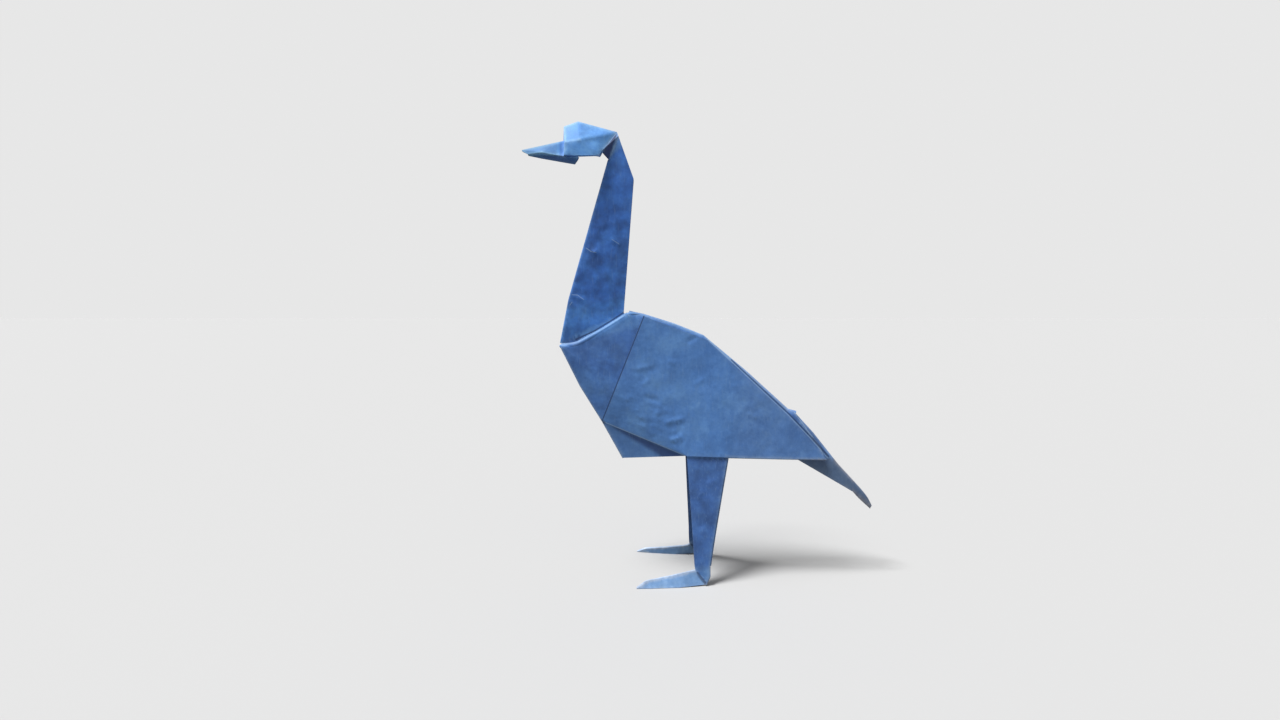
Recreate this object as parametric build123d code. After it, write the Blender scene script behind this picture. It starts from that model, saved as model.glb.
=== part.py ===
from build123d import *
from math import atan2, cos, degrees, hypot, pi, radians, sin, tan
import os

# A long-necked bird folded from one sheet of paper. It faces -X and stands on its two feet.
# Lengths are millimetres. Headings are degrees in the side view, 0 to the tail and 90 up.

# The sheet
paper = 0.16  # thickness
layer = 0.42  # spacing of two layers that lie on each other
tuck = 3.0  # how far a hidden layer reaches in behind a fold

# Legs, from the hip corner down
leg_height = 34.7
leg_top_width = 11.0
leg_layers = 1.26  # outer to inner wall of a leg
leg_root = 6.3  # the inner wall's reach up inside the body
leg_root_inset = 0.45  # and how far it leans in there
hip_side = 3.9  # half the spread of the legs at the hips
foot_side = 13.4  # and at the ground
ankle_height = 4.6
ankle_lean = 1.9  # the ankle's front edge, behind the hip corner
ankle_width = 4.1
instep_drop = 1.3
instep_back = 0.45
calf_rise = 0.6
heel_drop = 2.1
heel_inset = 1.1
heel_lift = 0.3
sole_lift = 0.9

# Feet, forward from the heel
foot_length = 19.4
foot_height = 3.7  # of the ridge, where it leaves the leg
foot_rise = 1.95  # from there back to the ankle's front edge
foot_arch = 4.5  # ankle's front edge to the foot's widest point
toe_height = 1.85  # of the ridge, before it dips to the toe
toe_dip = 2.7
toe_step = 6.5  # along the ridge, behind that point
foot_round = 0.3
foot_bottom_side = 1.1
toe_side = 0.75
toe_tip_side = 0.36
foot_splay = 7.0

# Belly, chest and hem
belly_length = 18.65
belly_tilt = 4.0
chest_length = 37.0
chest_heading = 118.9
chest_swell = 0.55  # the fold stands out this much half-way
chest_round = 1.1  # half width of the turn of the paper, at the rim
chest_round_low = 0.45
belly_round = 0.35
hem_length = 40.9
hem_tilt = -2.1
hem_side = 2.33  # half width where the rear seam starts
hem_rear_side = 1.75
seam_inset = 8.4  # from the hem's rear end

# The square-cornered flap that covers each side
flap_rise = 12.55  # its corner, up the chest
flap_height = 33.6
flap_top_drop = 0.55  # its upper edge lies this much below the ridge
flap_bend_drop = 1.7
flap_back_drop = 1.55

# Ridge of the back
ridge_length = 18.3
ridge_heading = -19.6
ridge_swell = 0.35  # how far the fold stands out half-way, as the chest's does
ridge_round = 1.2  # half width of the turn of the paper
ridge_round_front = 1.5
ridge_round_bend = 0.6
back_length = 32.9
back_heading = -40.9
back_swell = 0.35
back_round = 1.05
nub_length = 2.5
nub_heading = -14.8
nub_round = 1.15

# Rim, where the neck comes out of the body
lip_length = 3.95
lip_heading = 12.0
rim_length = 18.85
rim_heading = 31.9
rim_side_front = 1.3  # half width inside the rim
rim_side = 1.75
rim_side_rear = 1.6
rim_inset = 1.0  # from the rim's rear end to its last corner
shelf = 1.5  # the lip's lining stands this much above the lip
shelf_side = 0.7

# Tail
tail_length = 36.28
tail_heading = -51.37
tail_blunt = 0.7
tail_round = 0.28
tail_bevel = 0.6  # half width and depth of the bevel near the tip
tail_bevel_start = 9.6  # up from the tip
tail_neck = 8.0  # down from the nub
tail_side = 0.85  # half width at the lower edge
tail_tip_side = 0.45
gate_length = 12.2  # where the tail comes out of the body
gate_lean = 5.5
gate_side = 1.45
pleat_side = 0.72
pleat_spread = 0.33
tail_kink = 7.25  # kink of its lower edge, up from the tip
tail_kink_heading = 135.8
tail_heel_heading = 149.8
tail_root = (1.9, 218)  # the pleat's upper corner from the nub, as length and heading
tail_root_middle = (6.9, 250)
tail_root_low = (12.3, 256)

# Neck
neck_base = 12.7
neck_base_heading = 78.7
neck_length = 41.4
neck_heading = 73.7
neck_round = 0.26
neck_back_side = 0.72
neck_width = 9.15  # throat to the kink of the back edge
neck_width_heading = -37.5
nape_length = 13.95
nape_heading = 110.0
neck_side = 1.25  # half the gap between the two back edges, at the kink
nape_side = 0.5
nape_gap = 1.15  # the back edges end this far below the nape
neck_back_inset = 1.9  # the back edge leaves the rim this far from its end

# Head, opened out to a small hood
crown_length = 11.35
crown_heading = 165.1
brow_length = 4.2
brow_heading = 199.4
hood_depth = 8.6
hood_length = 9.7
hood_heel_side = 2.0
cheek_depth = 5.0
cheek_drop = 0.55  # deeper than that at the crown
cheek_rise = 0.2  # and less deep at the brow
cheek_side = 3.0
gusset_length = 1.7
gusset_side = 1.7

# Beak
beak_drop = 3.85  # below the brow
beak_length = 12.2
beak_heading = 192.6
beak_side = 1.6
beak_middle_side = 1.1
beak_tip_side = 0.5
beak_lip = 0.45
beak_depth = 4.6
jaw_length = 10.4
jaw_heading = 175.2
jaw_middle = 6.45
jaw_middle_heading = 169
jaw_overlap = 4.0
jaw_inset = 1.1
jaw_back_inset = 0.3
jaw_depth = 1.35
jaw_tip_depth = 0.35


def step(start, length, heading):
    turn = radians(heading)
    return (start[0] + length * cos(turn), start[1] + length * sin(turn))


def heading_of(start, end):
    return degrees(atan2(end[1] - start[1], end[0] - start[0]))


def middle_of(start, end, swell):
    """The middle of a fold that isn't quite straight, pushed out to the left of its heading."""
    middle = ((start[0] + end[0]) / 2, (start[1] + end[1]) / 2)
    return step(middle, swell, heading_of(start, end) + 90)


def crossing(start, heading, first, second):
    """Where a line from start at this heading crosses the line through two points."""
    dx, dz = cos(radians(heading)), sin(radians(heading))
    ex, ez = second[0] - first[0], second[1] - first[1]
    along = ((first[0] - start[0]) * ez - (first[1] - start[1]) * ex) / (dx * ez - dz * ex)
    return (start[0] + along * dx, start[1] + along * dz)


class Sheet:
    """The middle surface of the folded sheet: corners, and the panels between them.

    Only the near half is drawn. Corners on the middle plane are shared with its mirror image.
    """

    def __init__(self):
        self.corners = []
        self.panels = []

    def corner(self, point, side):
        self.corners.append(Vector(point[0], -side, point[1]))
        return len(self.corners) - 1

    def row(self, points, sides):
        return [self.corner(point, side) for point, side in zip(points, sides)]

    def panel(self, *loop):
        for second, third in zip(loop[1:], loop[2:]):
            self.panels.append((loop[0], second, third))

    def strip(self, row, other):
        for a, b, c, d in zip(row, row[1:], other[1:], other):
            self.panel(a, b, c, d)

    def fold(self, row, other, reach, heading, turns=3):
        """The round back of a closed fold: rows of corners on two layers, joined by a half turn."""
        rows = [row]
        for turn in range(1, turns):
            angle = pi * turn / turns
            line = []
            for a, b in zip(row, other):
                start, end = self.corners[a], self.corners[b]
                point = (start + end) * 0.5 + (start - end) * (0.5 * cos(angle))
                tip = step((0, 0), reach * sin(angle), heading)
                line.append(self.corner((point.X + tip[0], point.Z + tip[1]), -point.Y))
            rows.append(line)
        rows.append(other)
        for first, second in zip(rows, rows[1:]):
            self.strip(first, second)

    def roof(self, crest, inward, sides, depths, middle=None, hand=1):
        """Half of a rounded ridge: returns the row of corners where the side panel hangs from it."""
        middles = middle or [0] * len(crest)
        top = self.row(crest, middles) if hand > 0 or not middle else self.crest
        self.crest = top
        rows = [top]
        for width, depth in ((0.62, 0.28), (1, 1)):
            points = [step(p, d * depth, h) for p, d, h in zip(crest, depths, inward)]
            rows.append(self.row(points, [m + hand * s * width for m, s in zip(middles, sides)]))
        self.strip(rows[0], rows[1])
        self.strip(rows[1], rows[2])
        return rows[2]

    def side_at(self, point):
        """How far the drawn panels lie from the middle plane at a point of the side view."""
        best = None
        for a, b, c in self.panels:
            p, q, r = (self.corners[i] for i in (a, b, c))
            area = (q.X - p.X) * (r.Z - p.Z) - (r.X - p.X) * (q.Z - p.Z)
            if abs(area) < 1e-9:
                continue
            v = ((point[0] - p.X) * (r.Z - p.Z) - (r.X - p.X) * (point[1] - p.Z)) / area
            w = ((q.X - p.X) * (point[1] - p.Z) - (point[0] - p.X) * (q.Z - p.Z)) / area
            outside = max(0, -v, -w, v + w - 1)
            if best is None or outside < best[0]:
                best = (outside, -(p.Y * (1 - v - w) + q.Y * v + r.Y * w))
        return best[1]

    def whole(self):
        """Corners and panels of both halves, with every panel facing the same way."""
        corners, twin = list(self.corners), {}
        for i, c in enumerate(self.corners):
            twin[i] = i if abs(c.Y) < 1e-6 else len(corners)
            if twin[i] != i:
                corners.append(Vector(c.X, -c.Y, c.Z))
        edges = {}
        for number, panel in enumerate(self.panels):
            for a, b in zip(panel, panel[1:] + panel[:1]):
                edges.setdefault(frozenset((a, b)), []).append((number, a))
        near, todo = {0: self.panels[0]}, [0]
        while todo:
            loop = near[todo.pop()]
            for a, b in zip(loop, loop[1:] + loop[:1]):
                for number, _ in edges[frozenset((a, b))]:
                    if number not in near:
                        other = self.panels[number]
                        ways = list(zip(other, other[1:] + other[:1]))
                        near[number] = other[::-1] if (a, b) in ways else other
                        todo.append(number)
        near = list(near.values())
        return corners, near + [tuple(twin[i] for i in reversed(loop)) for loop in near]

    def thick(self, thickness):
        """One closed solid: the sheet with half its thickness on either side of the middle."""
        corners, panels = self.whole()
        lean = [Vector(0, 0, 0)] * len(corners)
        weights = [0.0] * len(corners)
        faces_of = [[] for _ in corners]
        for loop in panels:
            p, q, r = (corners[i] for i in loop)
            normal = (q - p).cross(r - p).normalized()
            for i, here, after, before in ((0, p, q, r), (1, q, r, p), (2, r, p, q)):
                angle = radians((after - here).get_angle(before - here))
                lean[loop[i]] = lean[loop[i]] + normal * angle
                weights[loop[i]] += angle
                faces_of[loop[i]].append((normal, angle))
        out, back = [], []
        for i, c in enumerate(corners):
            mean = lean[i].normalized()
            square = sum(n.dot(mean) * a for n, a in faces_of[i]) / weights[i]
            push = mean * (0.5 * thickness / max(square, 0.55))
            out.append(c + push)
            back.append(c - push)
        sides = {}
        for loop in panels:
            for a, b in zip(loop, loop[1:] + loop[:1]):
                sides[(a, b)] = sides.get((a, b), 0) + 1
        skin = []
        for a, b, c in panels:
            skin.append((out[a], out[b], out[c]))
            skin.append((back[a], back[c], back[b]))
        for a, b in sides:
            if (b, a) not in sides:
                skin.append((out[b], out[a], back[a]))
                skin.append((out[b], back[a], back[b]))
        solid = Solid(Shell([Face(Wire.make_polygon(points, close=True)) for points in skin]))
        return solid


# Side view of the body
hip = (0.0, leg_height)


def hem(distance):
    return step(hip, distance, hem_tilt)


belly_front = step(hip, belly_length, 180 + belly_tilt)
rim_front = step(belly_front, chest_length, chest_heading)
flap_corner = step(belly_front, flap_rise, chest_heading)
flap_heading = heading_of(flap_corner, hip)
chest_middle = middle_of(flap_corner, rim_front, chest_swell)
ridge_front = step(flap_corner, flap_height, flap_heading + 90)
lip_end = step(rim_front, lip_length, lip_heading)
rim_back = step(lip_end, rim_length, rim_heading)
ridge_bend = step(ridge_front, ridge_length, ridge_heading)
back_end = step(ridge_bend, back_length, back_heading)
ridge_middle = middle_of(ridge_front, ridge_bend, ridge_swell)
back_middle = middle_of(ridge_bend, back_end, back_swell)
nub = step(back_end, nub_length, nub_heading)
tail_tip = step(nub, tail_length, tail_heading)
tail_under = step(tail_tip, tail_blunt, -120)
kink = step(tail_under, tail_kink, tail_kink_heading)

bird = Sheet()

# Body: the chest fold and the ridge of the back are closed and rounded
into_chest = chest_heading - 90
into_ridge = ridge_heading - 88
into_back = back_heading - 80
chest = bird.roof(
    [rim_front, chest_middle, flap_corner, belly_front],
    [into_chest] * 4,
    [chest_round, (chest_round + chest_round_low) / 2, chest_round_low, belly_round],
    [0.8, 0.6, 0.4, 0.35],
)
ridge = bird.roof(
    [rim_back, ridge_front, ridge_middle, ridge_bend, back_middle, back_end, nub],
    [ridge_heading - 80, into_ridge, into_ridge, into_back, into_back, back_heading - 85]
    + [back_heading - 75],
    [ridge_round_front, ridge_round, (ridge_round + ridge_round_bend) / 2, ridge_round_bend]
    + [(ridge_round_bend + back_round) / 2, back_round, nub_round],
    [1.2, 1.0, 0.8, 0.65, 0.8, 1.0, 1.0],
)
at_bend, at_back_middle, at_back, at_nub = ridge[3:]

# Body: the inner layer spreads from both folds to the hips, with the rim as its front edge
half = layer / 2
under_rim = rim_heading - 90
rim_middle = step(lip_end, rim_length / 2, rim_heading)
rim_last = step(lip_end, rim_length - rim_inset, rim_heading)
rim = [chest[0]] + bird.row(
    [step(p, half, under_rim) for p in (lip_end, rim_middle, rim_last)],
    [rim_side_front, rim_side, rim_side_rear],
)
seam = hem_length - seam_inset
inner_hem = bird.row(
    [step(hem(s), half, 90) for s in (0, leg_top_width, seam, hem_length - 0.6)],
    [hip_side, hip_side, hem_side, hem_rear_side],
)
hip_in, hip_out, hem_seam, hem_end = inner_hem
tail_gate = bird.corner(step(nub, gate_length, tail_heading - gate_lean), gate_side)
gate = [at_nub, tail_gate, hem_end]
spread = chest[:0:-1] + rim + ridge[:4]
for a, b in zip(spread, spread[1:]):
    bird.panel(hip_in, a, b)
bird.panel(hip_in, at_bend, hip_out)
bird.panel(hip_out, at_bend, at_back_middle)
bird.panel(hip_out, at_back_middle, at_back)
bird.panel(hip_out, at_back, hem_seam)
bird.panel(hem_seam, at_back, at_nub)
bird.panel(hem_seam, at_nub, tail_gate)
bird.panel(hem_seam, tail_gate, hem_end)

# Body: the square-cornered flap lies one layer out, over the inner layer
under_ridge = ridge_heading - 90
flap_top = crossing(
    flap_corner,
    flap_heading + 90,
    step(ridge_front, flap_top_drop, under_ridge),
    step(ridge_middle, flap_top_drop, under_ridge),
)
fan = [chest_middle, rim_front] + [(bird.corners[i].X, bird.corners[i].Z) for i in rim[1:] + ridge[:1]]
front = [step(flap_corner, 0.1, into_chest)]
for target in fan:
    front.append(crossing(hip, heading_of(hip, target), flap_corner, flap_top))
front.append(flap_top)
top = [
    step(ridge_middle, flap_top_drop * 2, under_ridge),
    step(ridge_bend, flap_bend_drop, back_heading - 10),
    step(back_middle, flap_back_drop, back_heading - 80),
    step(back_end, flap_back_drop, back_heading - 75),
]
edge = front + top
flap_edge = bird.row(edge, [bird.side_at(p) + layer for p in edge])
flap_bend, flap_back = flap_edge[-3], flap_edge[-1]
outer_hem = bird.row(
    [step(hem(s), half, 90) for s in (0, leg_top_width, seam, hem_length)],
    [side + layer for side in (hip_side, hip_side, hem_side, hem_rear_side)],
)
for a, b in zip(flap_edge[:-3], flap_edge[1:-2]):
    bird.panel(outer_hem[0], a, b)
bird.panel(outer_hem[0], flap_bend, outer_hem[1])
for a, b in zip(flap_edge[-3:-1], flap_edge[-2:]):
    bird.panel(outer_hem[1], a, b)
bird.panel(outer_hem[1], flap_back, outer_hem[2])
bird.panel(outer_hem[2], flap_back, outer_hem[3])
bird.fold(inner_hem[1:], outer_hem[1:], half, hem_tilt - 90)

# Neck: the rim turns in, and at the bottom of that tuck the paper turns up again
neck_foot = step(rim_front, shelf, 97)
throat_bend = step(neck_foot, neck_base, neck_base_heading)
throat = step(throat_bend, neck_length, neck_heading)
neck_kink = step(throat, neck_width, neck_width_heading)
nape = step(neck_kink, nape_length, nape_heading)
neck_back = step(step(lip_end, rim_length - neck_back_inset, rim_heading), 0.5, 90)
lining_sides = [shelf_side] + [side - layer for side in (rim_side_front, rim_side, rim_side_rear)]
lining = bird.row(
    [step(neck_foot, 0.45, -30), step(lip_end, shelf * 0.6, 100)]
    + [step(p, half, under_rim) for p in (rim_middle, rim_last)],
    lining_sides,
)
bird.fold(rim, lining, half, rim_heading + 90)
tuck_points = [
    step(step(rim_front, 2.1, lip_heading), tuck * 0.75, chest_heading + 180),
    step(lip_end, tuck, under_rim + 10),
    step(rim_middle, tuck, under_rim),
    step(rim_last, tuck, under_rim),
]
tuck_row = bird.row(tuck_points, lining_sides)
neck_root = bird.row(tuck_points, [side - layer for side in lining_sides])
bird.strip(lining, tuck_row)
bird.fold(tuck_row, neck_root, half, under_rim)
neck_front = bird.roof(
    [neck_foot, throat_bend, throat],
    [neck_base_heading - 90, neck_base_heading - 92, neck_heading - 90],
    [neck_round] * 3,
    [neck_round] * 3,
)
neck_rear = bird.row(
    [neck_back, neck_kink, step(nape, nape_gap, nape_heading - 177)],
    [neck_back_side, neck_side, nape_side],
)
bird.panel(neck_front[0], neck_root[0], neck_root[1])
bird.panel(neck_front[0], neck_root[1], neck_front[1])
for a, b in zip(neck_root[1:] + neck_rear[:1], neck_root[2:] + neck_rear[:2]):
    bird.panel(neck_front[1], a, b)
bird.panel(neck_front[1], neck_rear[1], neck_front[2])
bird.panel(neck_front[2], neck_rear[1], neck_rear[2])

# Head: a hood with a ridge, slanting crown panels, upright cheeks and a flat front
crown = step(nape, crown_length, crown_heading)
brow = step(crown, brow_length, brow_heading)
chin = step(brow, hood_depth, -88)
nape_top = bird.corner(nape, 0)
crown_top = bird.corner(crown, 0)
brow_top = bird.corner(brow, 0)
cheek_front = bird.corner(step(brow, cheek_depth - cheek_rise, -84.4), cheek_side)
cheek_back = bird.corner(step(crown, cheek_depth + cheek_drop, -83), cheek_side + 0.1)
chin_edge = bird.corner(chin, cheek_side - 0.1)
hood_heel = step(chin, hood_length, 1.3)
heel_edge = bird.corner(hood_heel, hood_heel_side)
gusset_edge = bird.corner(step(hood_heel, gusset_length, 64), gusset_side)
bird.panel(neck_rear[2], neck_front[2], gusset_edge)
bird.panel(neck_rear[2], gusset_edge, nape_top)
bird.panel(nape_top, cheek_back, crown_top)
bird.panel(crown_top, cheek_back, cheek_front, brow_top)
bird.panel(nape_top, gusset_edge, cheek_back)
bird.panel(gusset_edge, heel_edge, cheek_back)
bird.panel(cheek_back, heel_edge, chin_edge, cheek_front)

# Beak: an upper tent over a shallow keel that reaches back under the hood
beak_root = step(brow, beak_drop, -92)
beak_tip = step(beak_root, beak_length, beak_heading)
root_top = bird.corner(beak_root, 0)
tip_top = bird.corner(beak_tip, 0)
jaw_root = step(beak_root, beak_depth, -87.5)
jaw_half = step(jaw_root, jaw_middle, jaw_middle_heading)
jaw_end = step(jaw_root, jaw_length, jaw_heading)
sides = bird.row([jaw_root, jaw_half, jaw_end], [beak_side, beak_middle_side, beak_tip_side])
lip = bird.corner(step(beak_tip, beak_lip, -50), 0.26)
bird.panel(brow_top, cheek_front, root_top)
bird.panel(root_top, cheek_front, sides[0])
bird.panel(sides[0], cheek_front, chin_edge)
bird.panel(root_top, sides[0], sides[1])
bird.panel(root_top, sides[1], tip_top)
bird.panel(tip_top, sides[1], sides[2])
bird.panel(tip_top, sides[2], lip)
jaw_back = bird.corner(step(jaw_root, jaw_overlap, 0), beak_side - jaw_back_inset)
keel_line = [
    step(jaw_root, hypot(jaw_overlap - jaw_inset, jaw_depth + 0.5), -32),
    step(jaw_root, jaw_depth, -94),
    step(jaw_half, jaw_depth + 0.1, -97),
    step(jaw_end, jaw_tip_depth, -75),
]
keel = bird.row(keel_line, [0] * 4)
bird.panel(sides[0], jaw_back, keel[0])
bird.panel(sides[0], keel[0], keel[1])
bird.panel(sides[0], keel[1], keel[2], sides[1])
bird.panel(sides[1], keel[2], keel[3], sides[2])

# Tail: the back is pleated in at the gate, and comes out again as a narrow tent
pleat_top = step(nub, *tail_root)
pleat = [
    pleat_top,
    step(nub, *tail_root_middle),
    crossing(kink, tail_heel_heading, pleat_top, step(nub, *tail_root_low)),
]
gate_in = bird.row(
    [(bird.corners[i].X - 0.1, bird.corners[i].Z) for i in gate],
    [-bird.corners[i].Y - layer for i in gate],
)
bird.fold(gate, gate_in, half, tail_heading + 90)
pleat_sides = [pleat_side + pleat_spread * share for share in (0, 0.55, 1)]
pleat_out = bird.row(pleat, pleat_sides)
pleat_in = bird.row(pleat, [side - layer for side in pleat_sides])
bird.strip(gate_in, pleat_out)
bird.fold(pleat_out, pleat_in, half, 180)
tail_line = [
    step(nub, 0.65, -115),
    step(nub, tail_neck, tail_heading),
    step(tail_tip, tail_bevel_start, tail_heading + 180),
    tail_tip,
]
tail_top = bird.roof(
    tail_line,
    [tail_heading - 90] * 3 + [tail_heading - 110],
    [tail_round, tail_round + 0.04, tail_bevel, tail_bevel],
    [tail_round, tail_round + 0.04, tail_bevel, 0.35],
)
tail_low = bird.row([kink, tail_under], [tail_side, tail_tip_side])
bird.panel(tail_top[0], pleat_in[0], pleat_in[1], pleat_in[2])
bird.panel(pleat_in[2], tail_low[0], tail_top[1], tail_top[0])
bird.panel(tail_low[0], tail_top[2], tail_top[1])
bird.panel(tail_low[0], tail_low[1], tail_top[3], tail_top[2])


# Legs: an outer and an inner wall, closed at the back and open in front
def leg_side(height):
    return foot_side + (hip_side - foot_side) * height / leg_height


ankle = (ankle_lean, ankle_height)
shin = step(ankle, ankle_height, heading_of(ankle, (hip[0] + 0.3, hip[1])))
instep = (ankle_lean + instep_back, ankle_height - instep_drop)
heel = (ankle_lean + ankle_width - heel_inset, heel_lift)
sole = (heel[0] - 0.4, sole_lift)
calf = (ankle_lean + ankle_width + 0.05, ankle_height + calf_rise)
heel_back = (ankle_lean + ankle_width, ankle_height - heel_drop)
front_points = [shin, ankle, instep, sole]
rear_points = [calf, heel_back, heel]


def leg_wall(inset, top_row):
    fore = bird.row(front_points, [leg_side(p[1]) - inset for p in front_points])
    rear = bird.row(rear_points, [leg_side(p[1]) - inset for p in rear_points])
    bird.panel(top_row[0], top_row[1], rear[0])
    bird.panel(top_row[0], rear[0], fore[0])
    bird.panel(fore[0], rear[0], fore[1])
    bird.panel(fore[1], rear[0], rear[1])
    bird.panel(fore[1], rear[1], fore[2])
    bird.panel(fore[2], rear[1], fore[3])
    bird.panel(fore[3], rear[1], rear[2])
    return rear


outer_rear = leg_wall(0, inner_hem[:2])
inner_top = bird.row(
    [step(hip, 0.4, 40), step(hem(leg_top_width), half, 90)], [hip_side - leg_layers] * 2
)
inner_rear = leg_wall(leg_layers, inner_top)
root = bird.row(
    [step(hip, leg_root, 78), step(hem(leg_top_width), leg_root, 94)],
    [hip_side - leg_layers - leg_root_inset] * 2,
)
bird.panel(root[0], root[1], inner_top[1], inner_top[0])
bird.fold([hip_out, outer_rear[0]], [inner_top[1], inner_rear[0]], layer, 0, turns=4)

# Feet: the end of each leg is turned inside out between its walls, and points forward
def foot_middle(point):
    turned = max(0, ankle_lean - point[0]) * tan(radians(foot_splay))
    return leg_side(point[1]) - leg_layers / 2 + turned


toe = (heel[0] - foot_length, 0.0)
ridge_start = (calf[0] - 0.1, calf[1] - 0.25)
foot_ridge = [
    ridge_start,
    (ankle_lean - foot_rise, foot_height),
    (toe[0] + toe_dip + toe_step, (foot_height + toe_height) / 2),
    (toe[0] + toe_dip, toe_height),
    (toe[0] + 0.25, 0.35),
]
foot_middles = [foot_middle(p) for p in foot_ridge]
bottom_points = [(ankle_lean - foot_arch, 0.0), (toe[0] + toe_dip + 1.0, 0.0), toe]
bottom_sides = (foot_bottom_side, toe_side, toe_tip_side)


def foot_half(hand, wall_rear):
    top = bird.roof(
        foot_ridge,
        [-90] * 5,
        [half, foot_round - 0.05, foot_round, foot_round, foot_round * 0.75],
        [foot_round] * 4 + [foot_round / 2],
        foot_middles,
        hand,
    )
    crease = [top[0]] + bird.row(
        rear_points[1:], [foot_middle(p) + hand * half for p in rear_points[1:]]
    )
    bottom = bird.row(
        bottom_points,
        [foot_middle(p) + hand * side for p, side in zip(bottom_points, bottom_sides)],
    )
    bird.panel(top[0], crease[1], top[1])
    bird.panel(crease[1], crease[2], top[1])
    bird.panel(top[1], crease[2], bottom[0])
    bird.panel(top[1], bottom[0], top[2])
    bird.panel(top[2], bottom[0], bottom[1])
    bird.panel(top[2], bottom[1], top[3])
    bird.panel(top[3], bottom[1], bottom[2])
    bird.panel(top[3], bottom[2], top[4])
    bird.fold(wall_rear, crease, half, -20)


foot_half(1, outer_rear)
foot_half(-1, inner_rear)

folded_sheet = bird.thick(paper)
box = folded_sheet.bounding_box()
folded_sheet = Pos(-(box.min.X + box.max.X) / 2, 0, -box.min.Z) * folded_sheet
folded_sheet.label = "folded_sheet"

os.makedirs("parts", exist_ok=True)
export_step(folded_sheet, "parts/folded_sheet.step")
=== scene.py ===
import math

import bmesh
import bpy
import numpy as np
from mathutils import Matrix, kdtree


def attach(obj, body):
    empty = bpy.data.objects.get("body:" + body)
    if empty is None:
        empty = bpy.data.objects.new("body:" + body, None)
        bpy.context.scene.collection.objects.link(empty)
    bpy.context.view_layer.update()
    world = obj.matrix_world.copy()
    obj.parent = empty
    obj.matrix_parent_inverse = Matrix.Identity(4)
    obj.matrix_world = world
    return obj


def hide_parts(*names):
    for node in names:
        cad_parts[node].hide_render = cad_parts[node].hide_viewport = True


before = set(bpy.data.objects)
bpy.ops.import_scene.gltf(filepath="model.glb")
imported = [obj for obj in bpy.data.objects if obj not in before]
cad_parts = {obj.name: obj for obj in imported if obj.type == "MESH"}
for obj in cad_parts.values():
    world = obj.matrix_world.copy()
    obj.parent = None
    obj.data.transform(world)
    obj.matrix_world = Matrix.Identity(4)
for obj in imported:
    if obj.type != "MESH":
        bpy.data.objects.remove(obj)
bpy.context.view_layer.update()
scene = bpy.context.scene
mm = 0.001


def linearColour(hexCode):  # the hex codes are sRGB, as a screen shows them
    parts = [int(hexCode[i:i + 2], 16) / 255 for i in (1, 3, 5)]
    return [p / 12.92 if p <= 0.04045 else ((p + 0.055) / 1.055) ** 2.4 for p in parts] + [1.0]


def smoothStep(start, full, value):  # 0 at the start, 1 where it is full, eased between them
    t = np.clip((value - start) / (full - start), 0, 1)
    return t * t * (3 - 2 * t)


# Sockets by number: in a Mix 0 is the share, 2 and 3 its values and 6 and 7 its colours, and in a Map Range
# 0 is the value, 1 and 2 its range and 3 and 4 the range it is brought to
def addNode(tree, kind, settings=None, values=None, links=None):
    node = tree.nodes.new(kind)
    for name, value in (settings or {}).items():
        setattr(node, name, value)
    for socket, value in (values or {}).items():
        node.inputs[socket].default_value = value
    for socket, source in (links or {}).items():
        tree.links.new(source, node.inputs[socket])
    return node


# The camera stands where the photograph was taken from, with the tail to the right
viewPoint = {
    "place": (-17.42 * mm, -209 * mm, 79.8 * mm),
    "lookingDown": 4.76,
    "sensorWidth": 36,
    "lens": 20.28,
    "nearest": 5 * mm,
}


def addCamera(settings):
    camera = bpy.data.objects.new("viewPoint", bpy.data.cameras.new("viewPoint"))
    camera.location = settings["place"]
    camera.rotation_euler = (math.radians(90 - settings["lookingDown"]), 0, 0)
    camera.data.sensor_width = settings["sensorWidth"]
    camera.data.lens = settings["lens"]
    camera.data.clip_start = settings["nearest"]
    scene.collection.objects.link(camera)
    scene.camera = camera


# A pale floor under a plain sky, and one broad soft lamp from the upper left. Floor and sky are shown
# brighter than they light the paper
studio = {
    "floorSize": 6.0,
    "floorShown": "#C3C3C3",
    "floorBounce": "#7C786F",
    "floorRoughness": 0.9,
    "floorShine": 0.1,
    "skyShown": 0.80,
    "skyStrength": 0.32,
    "lampTurn": (math.radians(26), 0, math.radians(-73)),
    "lampStrength": 4.0,
    "lampSpread": math.radians(22),
}


def seenDirectly(tree):
    rays = addNode(tree, "ShaderNodeLightPath")
    glossy = addNode(tree, "ShaderNodeMath", {"operation": "MAXIMUM"}, None,
                     {0: rays.outputs["Is Camera Ray"], 1: rays.outputs["Is Glossy Ray"]})
    return addNode(tree, "ShaderNodeMath", {"operation": "MAXIMUM"}, None,
                   {0: glossy.outputs[0], 1: rays.outputs["Is Transmission Ray"]})


def addFloor(settings):
    half = settings["floorSize"] / 2
    corners = [(-half, -half, 0), (half, -half, 0), (half, half, 0), (-half, half, 0)]
    mesh = bpy.data.meshes.new("floor")
    mesh.from_pydata(corners, [], [(0, 1, 2, 3)])
    floor = bpy.data.objects.new("floor", mesh)
    scene.collection.objects.link(floor)
    card = bpy.data.materials.new("mattCard")  # uncoated card: even and without a shine
    card.use_nodes = True
    tree = card.node_tree
    shader = tree.nodes["Principled BSDF"]
    shader.inputs["Roughness"].default_value = settings["floorRoughness"]
    shader.inputs["Specular IOR Level"].default_value = settings["floorShine"]
    shown = seenDirectly(tree)
    colour = addNode(tree, "ShaderNodeMix", {"data_type": "RGBA"},
                     {6: linearColour(settings["floorBounce"]), 7: linearColour(settings["floorShown"])},
                     {0: shown.outputs[0]})
    tree.links.new(colour.outputs[2], shader.inputs["Base Color"])
    mesh.materials.append(card)


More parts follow.
